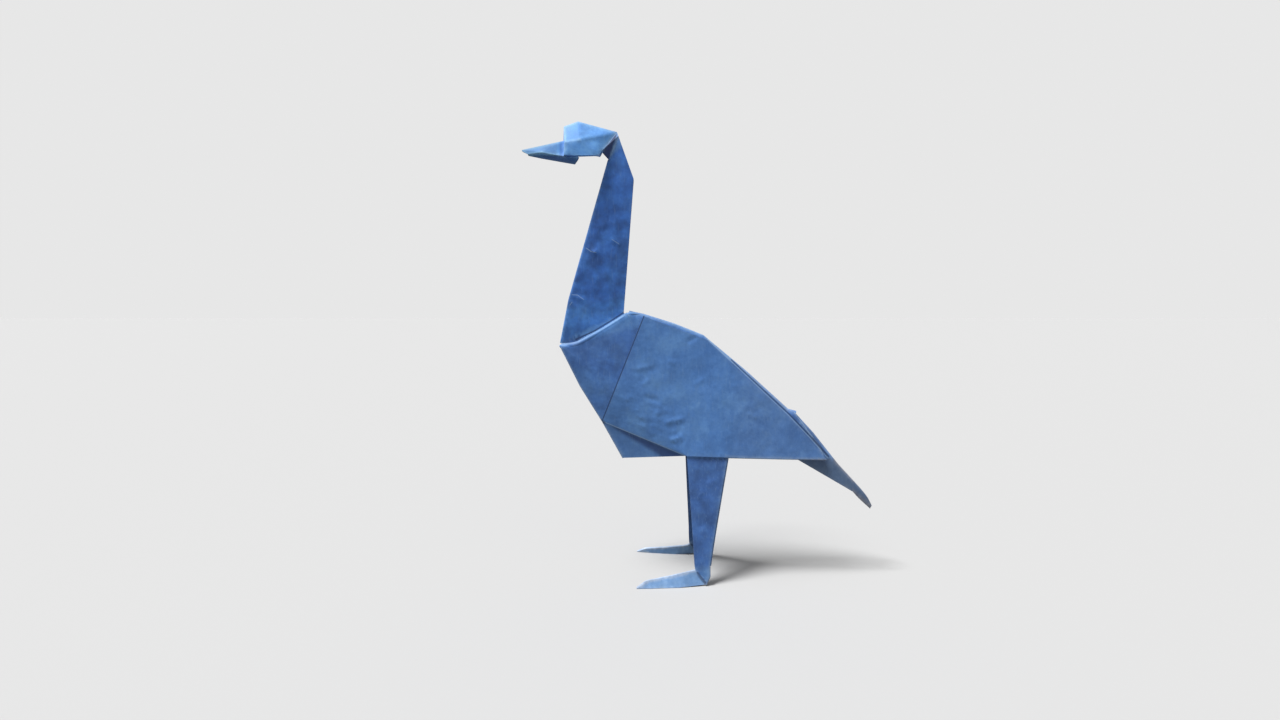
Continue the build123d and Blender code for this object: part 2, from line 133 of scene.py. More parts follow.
def addSkyAndLamp(settings):
    world = bpy.data.worlds.new("plainSky")
    scene.world = world
    world.use_nodes = True
    tree = world.node_tree
    shown = seenDirectly(tree)
    level = addNode(tree, "ShaderNodeMix", {"data_type": "FLOAT"},
                    {2: settings["skyStrength"], 3: settings["skyShown"]}, {0: shown.outputs[0]})
    tree.links.new(level.outputs[0], tree.nodes["Background"].inputs["Strength"])
    tree.nodes["Background"].inputs["Color"].default_value = (1, 1, 1, 1)

    lamp = bpy.data.objects.new("softLamp", bpy.data.lights.new("softLamp", "SUN"))
    lamp.data.energy = settings["lampStrength"]
    lamp.data.angle = settings["lampSpread"]
    lamp.rotation_euler = settings["lampTurn"]
    scene.collection.objects.link(lamp)


# The sheet: the solid's own shape, cut into smaller panels, softened where they only bend, and puckered
paperForm = {
    "mergeWithin": 0.002 * mm,
    "edgeLength": 1.45 * mm,
    "fineEdgeLength": 0.9 * mm,  # on the head, and near a pressed crease or the rim
    "fineReach": 1.1 * mm,  # how near that is
    "foldAngle": math.radians(28),  # sharper than this is a fold or a cut edge
    "headFoldAngle": math.radians(12),  # the hood's creases are shallow, and they show
    "headBase": 118 * mm,  # all above this is the head
    "cutFace": 0.25 * mm,  # a face narrower than this is a cut edge of the sheet
    "cutSlack": math.radians(18),  # how far from a right angle it may stand
    "markSpacing": 0.3 * mm,  # between the marks along a fold, from which distances are taken
    "stillNear": 0.5 * mm,  # no softening this near to a fold
    "softFrom": 3.5 * mm,
    "softenings": 45,
    "wearReach": 0.4 * mm,
    "cutWear": 0.2,  # how much of a fold's wear a cut edge has
    "flatNear": 0.3 * mm,  # no puckers this near to a fold
    "puckeredFrom": 2.5 * mm,
    "rollDistance": 0.5 * mm,  # the rolled rim is puckered as if a fold were this near
    # Where the sheet is most puckered: x, z, reach in mm, and how much
    "puckeredPlaces": (
        (-13, 46.5, 9, 1.1), (-5, 43, 7, 1.1), (-32, 92, 20, 1.5), (1, 22, 13, 1.2), (10, 52, 9, 0.8),
    ),
    "smoothPlaces": 0.5,
    "puckerHeight": 0.28 * mm,
    "puckerSize": 2.8 * mm,
    "waveHeight": 0.18 * mm,
    "waveSize": 13 * mm,
    "reliefNoise": {"Pucker": (3.0, 0.62), "Wave": (1.0, 0.4)},  # detail and roughness
    "reliefShares": (0.35, 2.0, 0.35),  # the panels stand upright, so most of it goes sideways
    "seed": 7,
}


# Short creases pressed into the sheet by the folding fingers: ends in the side view, and how high they
# stand, in mm
creases = {
    "body": (
        ((-18.9, 59.8), (-13.1, 61.3), 0.12), ((-14.6, 57.3), (-17.1, 55.2), 0.10),
        ((-16.3, 52.3), (-11.1, 50.3), -0.10), ((-13.1, 47.1), (-9.1, 48.0), 0.12),
        ((-10.5, 44.5), (-3.9, 45.9), 0.20), ((-9.0, 39.2), (-4.7, 40.7), 0.20),
        ((-1.9, 55.2), (1.2, 57.3), 0.09), ((-4.0, 67.6), (-0.9, 69.0), -0.14),
        ((-17.4, 45.1), (-15.7, 44.2), -0.14), ((-21.7, 50.9), (-19.4, 52.3), 0.08),
        ((13.7, 47.1), (16.6, 45.6), 0.09), ((-9.4, 62.4), (-7.1, 61.5), 0.10),
    ),
    "neck": (
        ((-32.8, 94.4), (-29.8, 93.1), 0.26), ((-37.0, 81.2), (-33.1, 79.5), 0.32),
        ((-28.6, 109.8), (-27.4, 109.0), 0.10), ((-27.4, 102.2), (-25.3, 101.0), 0.10),
        ((-25.7, 97.2), (-23.1, 95.5), 0.24), ((-26.5, 115.7), (-24.5, 115.1), 0.08),
        ((-29.4, 99.1), (-26.0, 100.0), -0.10),
    ),
    "leg": (
        ((-1.4, 23.2), (0.9, 25.1), 0.12), ((2.3, 27.1), (4.7, 28.0), 0.10),
        ((-1.2, 15.3), (1.4, 16.7), -0.08),
    ),
    "width": 0.7 * mm,
    "troughs": ((1.5, 0.55), (-1.8, 0.25)),  # beside the ridge: how many widths away, and how deep
    "fullShare": 0.6,  # how much of its length a crease stands at its full height
    "fading": 12,  # how quickly it sinks beyond that
    "offMiddle": (0.15 * mm, 0.7 * mm),  # none this near to the middle plane, and full this far from it
}


def everyCrease(settings):
    for start, end, height in settings["body"] + settings["neck"] + settings["leg"]:
        yield np.array(start) * mm, np.array(end) * mm, height


def pressCreases(points, settings):
    side = np.sign(points[:, 1]) * smoothStep(*settings["offMiddle"], np.abs(points[:, 1]))
    place = points[:, [0, 2]]
    for start, end, height in everyCrease(settings):
        along = end - start
        length = np.linalg.norm(along)
        along = along / length
        share = (place - start) @ along / length
        off = (place - start) @ np.array([-along[1], along[0]]) / settings["width"]
        past = np.clip(np.abs(share - 0.5) * 2 - settings["fullShare"], 0, None)
        fade = np.exp(-past ** 2 * settings["fading"])
        ridge = np.exp(-off ** 2)
        for shift, depth in settings["troughs"]:
            ridge = ridge - depth * np.exp(-(off + shift) ** 2)
        points[:, 1] += side * fade * ridge * height * mm
    return points


# Painted light and shade, multiplied into the dyed colour: lighter on the hood, feet and ankle where they
# face the lamp, darker on the shaded neck and legs, in the gusset, under the beak, rim, flap and body and
# at the tail, and a greyer painted reflection on the tail and rear: corners in the side view in mm, how the
# colour is multiplied, and how wide the change is
paintedLightAndShade = {
    # painted highlight on the hood's top facets
    "hood": (
        ((-23.9, 127.2), (-28.5, 121), (-32, 119), (-40.6, 119.6), (-40.6, 128.6), (-36, 131),
         (-34.5, 131)),
        (1.3, 1.42, 1.34), 0.6),
    "beak": (
        ((-39.6, 125.2), (-39.6, 120.2), (-53, 120.2), (-53, 124)),
        (0.86, 1.02, 0.92), 0.4),
    # painted shade under the hood's front
    "beakRoot": (
        ((-40.2, 124.6), (-38.9, 124.6), (-38.9, 120), (-40.2, 120)),
        (0.42, 0.56, 0.74), 0.6),
    # painted shade on the beak's underside
    "keel": (
        ((-49.2, 120.95), (-44.17, 121.5), (-39, 120.5), (-34.4, 120.4), (-34.4, 118), (-42, 118),
         (-49.3, 120.4)),
        (0.26, 0.38, 0.5), 0.35),
    # painted shade in the recess behind the head
    "gusset": (
        ((-23.8, 127.2), (-28.5, 121.2), (-27, 119.2), (-26.2, 119.4), (-24.2, 125.6)),
        (0.08, 0.12, 0.2), 0.5),
    # painted shade on the upright neck
    "neck": (
        ((-46, 62.2), (-35.6, 67.9), (-20.8, 76.6), (-14, 79.7), (-14, 116), (-23.2, 127.5), (-26.6, 119.8),
         (-46, 104)),
        (0.38, 0.58, 0.82), 0.6),
    # painted light on the neck's foot
    "neckFoot": (
        ((-42, 64.8), (-42, 77), (-14, 82), (-20.5, 77), (-35.6, 68.3)),
        (1.3, 1.24, 1.1), 2.5),
    # painted shadow above the rim
    "neckSlit": (
        ((-40.4, 67.2), (-38.6, 68.6), (-33.0, 70.0), (-35.4, 67.9), (-38, 67.1)),
        (0.3, 0.38, 0.5), 0.8),
    # painted shade that dims the rim's highlight
    "rim": (
        ((-41, 65.6), (-41, 67.4), (-36, 68), (-21, 76.6), (-19, 77), (-19, 75.2), (-35.5, 66.6)),
        (0.8, 0.9, 0.92), 0.9),
    # painted shade on the chest
    "chest": (
        ((-28.6, 44.3), (-16.3, 75.1), (-21, 76), (-37, 67.3), (-42, 66)),
        (0.76, 0.8, 0.88), 1.0),
    # painted shade below the rim
    "underRim": (
        ((-40, 66), (-38, 61), (-20, 57), (-17.6, 72), (-30, 68.6)),
        (0.84, 0.85, 0.9), 3.5),
    # painted shadow under the flap's lower edge
    "underFlap": (
        ((-28.4, 44.4), (-4.3, 35.0), (-4.3, 34), (-12.5, 34), (-21.1, 40.2)),
        (0.26, 0.31, 0.41), 1.5),
    # painted shade on the belly, which faces down
    "belly": (
        ((-28.4, 44.4), (-4.3, 35.0), (-4.3, 33), (-24, 33)),
        (0.94, 0.88, 0.86), 0.5),
    # painted shade on the legs under the body
    "legs": (
        ((-6, 34.4), (11, 34.4), (6, -1), (2.2, -1), (-3.2, 6.4)),
        (0.39, 0.44, 0.52), 0.7),
    # painted shadow under the body's edge on the legs' tops
    "underBody": (
        ((-4.4, 34.6), (8.6, 34.6), (8.2, 33.0), (-2, 33.2)),
        (0.6, 0.65, 0.7), 1.4),
    # painted highlight on the ankle
    "ankle": (
        ((-1.2, 4.9), (4.2, 5.2), (4.2, 0.8), (0.8, 1)),
        (1.8, 1.5, 1.2), 1.4),
    # painted highlight on the tops of the feet
    "feet": (
        ((-3.2, 6.4), (2.2, -1), (-22, -1), (-22, 2.5)),
        (2.0, 1.38, 1.0), 0.7),
    # painted warm reflection, greyer towards the rear
    "rear": (
        ((14, 72), (8, 30), (60, 8), (60, 30)),
        (1.04, 0.93, 0.9), 10),
    # painted warm reflection and shade on the tail
    "tail": (
        ((28, 33.4), (37.7, 33.6), (40, 33.4), (53, 19), (50, 16), (26, 33.2)),
        (1.06, 0.74, 0.56), 0.8),
    # painted shadow beside the tail's step
    "tailStep": (
        ((26.2, 46.6), (27.2, 48), (31, 47.6), (30.8, 45), (28, 44.6)),
        (0.6, 0.7, 0.85), 0.6),
    # painted shadow under the panel's corner on the tail's root
    "tailRoot": (
        ((28.5, 33.6), (37.9, 33.3), (37.9, 30.2), (33.9, 30.4)),
        (0.66, 0.7, 0.76), 1.4),
}
# How strongly the dye has blotched in some of them, and everywhere else
blotchiness = {"neck": 1.0, "legs": 0.7, "hood": 0.5, "feet": 0.5, "chest": 0.6}
leastBlotchiness = 0.3


# Multiplies each point's colour by the painted light and shade, and keeps in the alpha how blotchy the dye
# is
def paintLightShadeAndBlotches(points, regions):
    place = points[:, [0, 2]]
    colour = np.ones((len(points), 4))
    colour[:, 3] = leastBlotchiness
    for name, (corners, factor, soft) in regions.items():
        corners = np.array(corners) * mm
        middle = corners.mean(0)
        mask = np.ones(len(points))
        for a, b in zip(corners, np.roll(corners, -1, 0)):
            across = np.array([b[1] - a[1], a[0] - b[0]])
            across = across / np.linalg.norm(across)
            across = across if (middle - a) @ across > 0 else -across
            mask = np.minimum(mask, smoothStep(-soft / 2 * mm, soft / 2 * mm, (place - a) @ across))
        colour[:, :3] *= 1 + (np.array(factor) - 1) * mask[:, None]
        colour[:, 3] = np.maximum(colour[:, 3], blotchiness.get(name, 0) * mask)
    return colour


# The rim is rolled over, not creased: x, z and y of the roll's middle, and its half height and half
# thickness, all in mm
rimRoll = {
    "stations": (
        (-40.75, 66.60, 0.25, 0.20, 0.18), (-40.2, 66.50, 0.50, 0.62, 0.34),
        (-39.2, 66.50, 0.80, 0.82, 0.40), (-37.8, 66.65, 1.00, 0.90, 0.44),
        (-36.2, 66.88, 1.12, 0.80, 0.46), (-34.4, 67.70, 1.25, 0.72, 0.48),
        (-31.0, 69.52, 1.42, 0.66, 0.48), (-27.9, 71.28, 1.52, 0.64, 0.46),
        (-24.5, 73.36, 1.50, 0.66, 0.44), (-22.0, 74.98, 1.42, 0.68, 0.42),
        (-20.6, 75.70, 1.25, 0.66, 0.44), (-19.3, 75.88, 1.00, 0.54, 0.50),
        (-17.5, 75.65, 0.66, 0.34, 0.42), (-15.2, 75.20, 0.42, 0.05, 0.15),
    ),
    "around": 24,
    "spacing": 0.35,
    "smoothings": 6,
    "smoothing": (0.25, 0.5, 0.25),  # the shares of a station and of its two neighbours each time
    "lean": 0.34,  # the upper half leans inwards
    "flank": 1.8,  # the lower half is this many times as tall, and runs into the panel
    "inset": 0.15,  # the whole roll lies this much nearer to the middle plane
}


def rolledRim(settings):
    table = np.array(settings["stations"])
    travel = np.concatenate([[0], np.cumsum(np.hypot(*np.diff(table[:, :2], axis=0).T))])
    steps = np.linspace(0, travel[-1], int(travel[-1] / settings["spacing"]) + 1)
    rows = np.array([np.interp(steps, travel, column) for column in table.T]).T
    for _ in range(settings["smoothings"]):
        rows[1:-1] = sum(share * rows[i:len(rows) - 2 + i] for i, share in enumerate(settings["smoothing"]))
    way = np.gradient(rows[:, :2], axis=0)
    way /= np.linalg.norm(way, axis=1)[:, None]
    around = settings["around"]
    turn = np.arange(around) * 2 * math.pi / around
    up = rows[:, 3:4] * np.where(np.cos(turn) > 0, np.cos(turn), settings["flank"] * np.cos(turn))
    out = rows[:, 4:5] * np.sin(turn) - settings["lean"] * np.maximum(up, 0) - settings["inset"]
    points, panels = [], []
    for side in (-1, 1):
        first = len(rows) * around * len(points)
        ring = np.stack([rows[:, :1] - way[:, 1:] * up, side * (rows[:, 2:3] + out),
                         rows[:, 1:2] + way[:, :1] * up], 2)
        points.append(ring.reshape(-1, 3))
        index = first + np.arange(len(rows) * around).reshape(-1, around)
        a, b = index[:-1], index[1:]
        c, d = np.roll(b, -1, 1), np.roll(a, -1, 1)
        skin = [np.stack(corners, 2).reshape(-1, 3) for corners in ((a, b, c), (a, c, d))]
        front, rear = index[0], index[-1]
        ends = [[front[0], front[k + 1], front[k]] for k in range(1, around - 1)]
        ends += [[rear[0], rear[k], rear[k + 1]] for k in range(1, around - 1)]
        skin = np.concatenate([*skin, ends])
        panels.append(skin if side > 0 else skin[:, ::-1])
    return np.vstack(points) * mm, np.vstack(panels)


# How the paper has sprung from its flat-folded shape, in mm. A pair is where a change begins and where it
# is full
sprung = {
    # The panel's upper edge curls in behind the roll, up to this far above the roll's middle
    "rim": {"curl": 0.28, "rise": (-0.1, 0.6), "highest": 2, "rearEnd": -17.5, "depth": (-0.25, -0.05)},
    # The cheeks flare by a share of their height below the top
    "cheeks": {"flare": 0.22, "top": 124.2, "height": 4.5, "lowest": 117, "front": (-41.2, -40.4),
               "rear": (-27, -30.5), "side": (1.2, 2.2)},
    # The thighs' rear edge stands further back towards its top
    "thighs": {"back": 0.75, "bottom": 9, "height": 25, "top": (36.5, 34.2), "front": (-4, 8),
               "rear": (12, 9.5)},
    # The far cheek's edge sits higher than the near one
    "farCheek": {"lift": 1, "top": 123, "height": 3, "lowest": 117, "front": (-40.6, -39.8),
                 "rear": (-27, -30.5), "side": (1, 2)},
    # The far foot is flatter than the near one, by this share
    "farFoot": {"flatter": 0.2, "highest": 9, "side": (2.5, 3.5), "heel": (-0.5, -3.0)},
    # The tail's two edges at each height, how far they open there, and which way in x and z
    "tail": {
        "height": (18.7, 21.3, 23.4, 27.8, 31.7),
        "lowerEdge": (50.5, 48.0, 45.5, 37.9, 31),
        "upperEdge": (50.8, 48.8, 47.2, 43.8, 40.8),
        "upward": (0.1, 0.8, 0.8, 0.4, 0),
        "downward": (0.05, 0.2, 0, 0, 0),
        "front": 36,
        "highest": 31.7,
        "direction": (0.76, 0.65),
    },
}


def springOpen(points, settings):
    x, y, z = points.T / mm

    form = settings["rim"]
    roll = np.array(rimRoll["stations"])
    over = z - np.interp(x, roll[:, 0], roll[:, 1])
    curled = smoothStep(*form["rise"], over) * (over < form["highest"]) * (x < form["rearEnd"])
    curled = curled * smoothStep(*form["depth"], np.abs(y) - np.interp(x, roll[:, 0], roll[:, 2]))
    y = y - np.sign(y) * form["curl"] * curled

    form = settings["cheeks"]
    flared = smoothStep(*form["front"], x) * smoothStep(*form["rear"], x)
    flared = flared * smoothStep(*form["side"], np.abs(y)) * (z > form["lowest"])
    y = y + np.sign(y) * form["flare"] * np.clip(form["top"] - z, 0, form["height"]) * flared

    form = settings["thighs"]
    spread = np.clip((z - form["bottom"]) / form["height"], 0, 1) * smoothStep(*form["top"], z)
    spread = spread * smoothStep(*form["front"], x) * smoothStep(*form["rear"], x)
    x = x + form["back"] * spread

    form = settings["farCheek"]
    tucked = smoothStep(*form["front"], x) * smoothStep(*form["rear"], x) * smoothStep(*form["side"], y)
    z = z + form["lift"] * tucked * np.clip((form["top"] - z) / form["height"], 0, 1) * (z > form["lowest"])

    form = settings["farFoot"]
    flat = form["flatter"] * smoothStep(*form["side"], y) * smoothStep(*form["heel"], x)
    z = z * (1 - flat * (z < form["highest"]))

    form = settings["tail"]
    low, high, up, down = (np.interp(z, form["height"], form[name])
                           for name in ("lowerEdge", "upperEdge", "upward", "downward"))
    share = np.clip((x - low) / (high - low), 0, 1)
    opened = np.where((x > form["front"]) & (z < form["highest"]), share * up - (1 - share) * down, 0)
    return np.stack([x + form["direction"][0] * opened, y, z + form["direction"][1] * opened], 1) * mm


def needsFineEdges(points, settings):
    x, z = points[:, 0], points[:, 2]
    roll = np.array(rimRoll["stations"]) * mm
    offRoll = np.abs(z - np.interp(x, roll[:, 0], roll[:, 1]))
    fine = (x < roll[-1, 0]) & (offRoll < settings["fineReach"])
    fine |= z > settings["headBase"]
    place = points[:, [0, 2]]
    for start, end, _ in everyCrease(creases):
        along = end - start
        share = np.clip((place - start) @ along / (along @ along), 0, 1)
        fine |= np.linalg.norm(place - start - share[:, None] * along, axis=1) < settings["fineReach"]
    return fine


def sidesOf(panels):
    return np.sort(np.stack([panels, np.roll(panels, -1, 1)], 2).reshape(-1, 2), 1)


def splitPanels(points, panels, settings):  # halves every edge that is too long, until none is
    while True:
        edges, use = np.unique(sidesOf(panels), axis=0, return_inverse=True)
        use = use.reshape(-1, 3)
        fine = needsFineEdges(points[edges].mean(1), settings)
        longest = np.where(fine, settings["fineEdgeLength"], settings["edgeLength"])
        split = np.linalg.norm(points[edges[:, 0]] - points[edges[:, 1]], axis=1) > longest
        if not split.any():
            return points, panels
        middle = np.full(len(edges), -1)
        middle[split] = len(points) + np.arange(split.sum())
        points = np.vstack([points, points[edges[split]].mean(1)])
        cut = split[use]
        count = cut.sum(1)
        made = [panels[count == 0]]
        for turn in range(3):
            a, b, c = (panels[:, (turn + i) % 3] for i in range(3))
            first, second = (middle[use[:, (turn + i) % 3]] for i in range(2))
            one = (count == 1) & cut[:, turn]
            for corners in ((a, first, c), (first, b, c)):
                made.append(np.stack(corners, 1)[one])
            two = (count == 2) & ~cut[:, (turn + 2) % 3]
            for corners in ((first, b, second), (a, first, second), (a, second, c)):
                made.append(np.stack(corners, 1)[two])
        a, b, c = panels[count == 3].T
        ab, bc, ca = middle[use[count == 3]].T
        for corners in ((a, ab, ca), (ab, b, bc), (ca, bc, c), (ab, bc, ca)):
            made.append(np.stack(corners, 1))
        panels = np.vstack(made)


def refinedSheet(node, settings):
    work = bmesh.new()
    work.from_mesh(node.data)
    bmesh.ops.remove_doubles(work, verts=work.verts, dist=settings["mergeWithin"])
    folds, cuts, bends = [], [], []  # marks along them, and a bend is a shallow crease that isn't worn
    for edge in work.edges:
        angle = edge.calc_face_angle(0)
        a, b = (v.co.copy() for v in edge.verts)
        onHead = min(a.z, b.z) > settings["headBase"]
        if angle > settings["headFoldAngle" if onHead else "foldAngle"]:
            thin = min(e.calc_length() for f in edge.link_faces for e in f.edges) < settings["cutFace"]
            square = abs(angle - math.pi / 2) < settings["cutSlack"]
            marks = cuts if thin and square else folds
            marks = bends if angle < settings["foldAngle"] else marks
            count = max(1, round((b - a).length / settings["markSpacing"]))
            marks += [a.lerp(b, i / count) for i in range(count + 1)]
    points = np.array([v.co for v in work.verts])
    panels = np.array([[v.index for v in f.verts] for f in work.faces])
    work.free()
    points, panels = splitPanels(points, panels, settings)
    return points, panels, folds, cuts, bends


def distancesTo(points, marks):
    tree = kdtree.KDTree(len(marks))
    for i, mark in enumerate(marks):
        tree.insert(mark, i)
    tree.balance()
    return np.array([tree.find(p)[2] for p in points])


def softened(points, panels, weight, rounds):
    a, b = np.unique(sidesOf(panels), axis=0).T
    count = np.bincount(np.concatenate([a, b]), minlength=len(points))
    for _ in range(rounds):
        moved = np.empty_like(points)
        for axis in range(3):
            forward = np.bincount(a, points[b, axis], len(points))
            backward = np.bincount(b, points[a, axis], len(points))
            moved[:, axis] = (forward + backward) / count
        points = points + (moved - points) * weight[:, None]
    return points


def reliefTree(settings, material):
    tree = bpy.data.node_groups.new("paperRelief", "GeometryNodeTree")
    tree.interface.new_socket("Geometry", in_out="INPUT", socket_type="NodeSocketGeometry")
    for name in ("Pucker height", "Pucker size", "Wave height", "Wave size", "Seed"):
        tree.interface.new_socket(name, in_out="INPUT", socket_type="NodeSocketFloat")
    tree.interface.new_socket("Geometry", in_out="OUTPUT", socket_type="NodeSocketGeometry")
    given = addNode(tree, "NodeGroupInput")
    place = addNode(tree, "GeometryNodeInputPosition")
    openness = addNode(tree, "GeometryNodeInputNamedAttribute", {"data_type": "FLOAT"},
                       {"Name": "openPaper"})
    shifts = []
    for form, (detail, roughness) in settings["reliefNoise"].items():
        scale = addNode(tree, "ShaderNodeMath", {"operation": "DIVIDE"}, {0: 1.0},
                        {1: given.outputs[form + " size"]})
        noise = addNode(tree, "ShaderNodeTexNoise", {"noise_dimensions": "4D"},
                        {"Detail": detail, "Roughness": roughness},
                        {"Vector": place.outputs[0], "W": given.outputs["Seed"], "Scale": scale.outputs[0]})
        centred = addNode(tree, "ShaderNodeVectorMath", {"operation": "SUBTRACT"}, {1: (0.5, 0.5, 0.5)},
                          {0: noise.outputs["Color"]})
        sized = addNode(tree, "ShaderNodeVectorMath", {"operation": "SCALE"}, None,
                        {0: centred.outputs[0], "Scale": given.outputs[form + " height"]})
        shifts.append(sized)
    calmed = addNode(tree, "ShaderNodeVectorMath", {"operation": "SCALE"}, None,
                     {0: shifts[0].outputs[0], "Scale": openness.outputs[0]})
    total = addNode(tree, "ShaderNodeVectorMath", {"operation": "ADD"}, None,
                    {0: calmed.outputs[0], 1: shifts[1].outputs[0]})
    sideways = addNode(tree, "ShaderNodeVectorMath", {"operation": "MULTIPLY"},
                       {1: settings["reliefShares"]}, {0: total.outputs[0]})
    moved = addNode(tree, "GeometryNodeSetPosition", None, None,
                    {"Geometry": given.outputs["Geometry"], "Offset": sideways.outputs[0]})
    real = addNode(tree, "GeometryNodeRealizeInstances", None, None, {0: moved.outputs[0]})
    dressed = addNode(tree, "GeometryNodeSetMaterial", None, {"Material": material},
                      {"Geometry": real.outputs[0]})
    addNode(tree, "NodeGroupOutput", None, None, {0: dressed.outputs[0]})
    return tree


def applyRelief(piece, tree, values):
    modifier = piece.modifiers.new("relief", "NODES")
    modifier.node_group = tree
    for item in tree.interface.items_tree:
        if item.in_out == "INPUT" and item.name in values:
            modifier[item.identifier] = float(values[item.name])
    bpy.context.view_layer.update()
    evaluated = piece.evaluated_get(bpy.context.evaluated_depsgraph_get())
    mesh = bpy.data.meshes.new_from_object(evaluated)
    piece.modifiers.remove(modifier)
    old = piece.data
    piece.data = mesh
    bpy.data.meshes.remove(old)


# Mulberry-fibre craft paper, dyed blue in the pulp: matt, cloudy, with long fibres, paler along its folds
dyedPaper = {
    "light": "#679CE0",
    "middle": "#588DD6",
    "dark": "#4C80C9",
    # the pale of fold wear, also used for the painted edge highlights
    "paleWearAndHighlight": "#A3C6EC",
    # the colour of the painted crevice shadows
    "creviceShadow": "#1F3B68",
    # Each pattern's size, detail and roughness
    "patterns": {
        "cloud": (9 * mm, 3.0, 0.55),
        "mottle": (1.1 * mm, 4.0, 0.65),
        "blotch": (3.6 * mm, 2.0, 0.55),
        "crinkle": (1.7 * mm, 2.0, 0.55),
        "grain": (0.45 * mm, 3.0, 0.6),
    },
    "mottleShare": 0.42,
    "tonePlaces": {"dark": 0.36, "middle": 0.5, "light": 0.64},  # on the clouds' scale of 0 to 1
    "blotchRange": (0.33, 0.67),
    "blotchDepth": 0.3,
    "fibreWidth": 0.35 * mm,  # real fibres are about 0.05 mm wide, too fine to show
    "fibreLength": 4 * mm,
    "fibreDetail": 1.0,
    "fibreRange": (0.6, 0.8),
    "fibrePaleness": 0.12,
    # how pale the painted edge highlights are
    "edgeHighlightPaleness": 0.55,
    "creviceShadowDarkness": 0.8,
    "roughness": (0.5, 0.7),  # smoothest and roughest
    "ior": 1.47,
    "sheen": 0.12,
    "sheenRoughness": 0.5,
    "grainShare": 0.3,
    "grainDepth": 0.07 * mm,
    "grainStrength": 0.6,
}


# Lines in the colour, as ends in the side view and half width in mm: painted shadows in the crevices
# between layers, and painted highlights along edges
drawnLines = {
    # painted shadows in the crevices and slits between layers
    "creviceShadows": (
        ((-28.57, 44.39), (-16.3, 75.1), 0.16), ((-28.9, 44.5), (-28.2, 44.1), 0.6),
        ((9.1, 62.5), (18.8, 53.4), 0.16), ((18.8, 53.4), (25.95, 46.75), 0.2),
        ((25.95, 46.75), (32.75, 39.7), 0.2), ((32.75, 39.7), (37.8, 34.1), 0.3),
        ((-36.0, 68.4), (-30.6, 70.9), 0.2), ((-30.6, 70.9), (-25.4, 74.05), 0.2),
        ((-25.4, 74.05), (-21.3, 76.75), 0.2), ((-1.3, 3.6), (0.9, 1.0), 0.28),
    ),
    # painted highlights where edges and crease ridges catch the light, partly rubbed wear
    "edges": (
        ((2.1, 68.55), (8.8, 62.25), 0.2), ((8.8, 62.25), (18.5, 53.1), 0.16),
        ((18.5, 53.1), (25.65, 46.45), 0.16), ((25.65, 46.45), (32.45, 39.4), 0.16),
        ((32.45, 39.4), (37.6, 33.8), 0.2), ((27.6, 47.1), (30, 43.9), 0.16),
        ((30, 43.9), (32.9, 39.5), 0.13), ((-28.4, 44.5), (-4.3, 35.0), 0.16),
        ((-32.8, 94.6), (-31.4, 93.6), 0.1), ((-31.4, 93.6), (-30.0, 93.3), 0.08),
        ((-37.0, 81.3), (-35.4, 81.2), 0.1), ((-35.4, 81.2), (-33.6, 79.9), 0.08),
        ((-37.7, 78.3), (-37.0, 79.2), 0.08), ((-25.4, 97.0), (-23.4, 95.7), 0.08),
    ),
    "fade": (1.5, 0.5),  # how many half widths from its middle a line begins, and is full
}


def lineMask(tree, place, lines):
    flat = addNode(tree, "ShaderNodeVectorMath", {"operation": "MULTIPLY"}, {1: (1, 0, 1)}, {0: place})
    outer, inner = drawnLines["fade"]
    mask = None
    for (x0, z0), (x1, z1), width in lines:
        length = math.hypot(x1 - x0, z1 - z0)
        along = ((x1 - x0) / length, 0, (z1 - z0) / length)
        moved = addNode(tree, "ShaderNodeVectorMath", {"operation": "SUBTRACT"}, {1: (x0 * mm, 0, z0 * mm)},
                        {0: flat.outputs[0]})
        share = addNode(tree, "ShaderNodeVectorMath", {"operation": "DOT_PRODUCT"}, {1: along},
                        {0: moved.outputs[0]})
        held = addNode(tree, "ShaderNodeClamp", None, {"Max": length * mm}, {0: share.outputs["Value"]})
        nearest = addNode(tree, "ShaderNodeVectorMath", {"operation": "SCALE"}, {0: along},
                          {"Scale": held.outputs[0]})
        off = addNode(tree, "ShaderNodeVectorMath", {"operation": "DISTANCE"}, None,
                      {0: moved.outputs[0], 1: nearest.outputs[0]})
        line = addNode(tree, "ShaderNodeMapRange", None,
                       {1: width * outer * mm, 2: width * inner * mm, 3: 0.0, 4: 1.0},
                       {0: off.outputs["Value"]})
        mask = line if mask is None else addNode(tree, "ShaderNodeMath", {"operation": "MAXIMUM"}, None,
                                                 {0: mask.outputs[0], 1: line.outputs[0]})
    return mask.outputs[0]
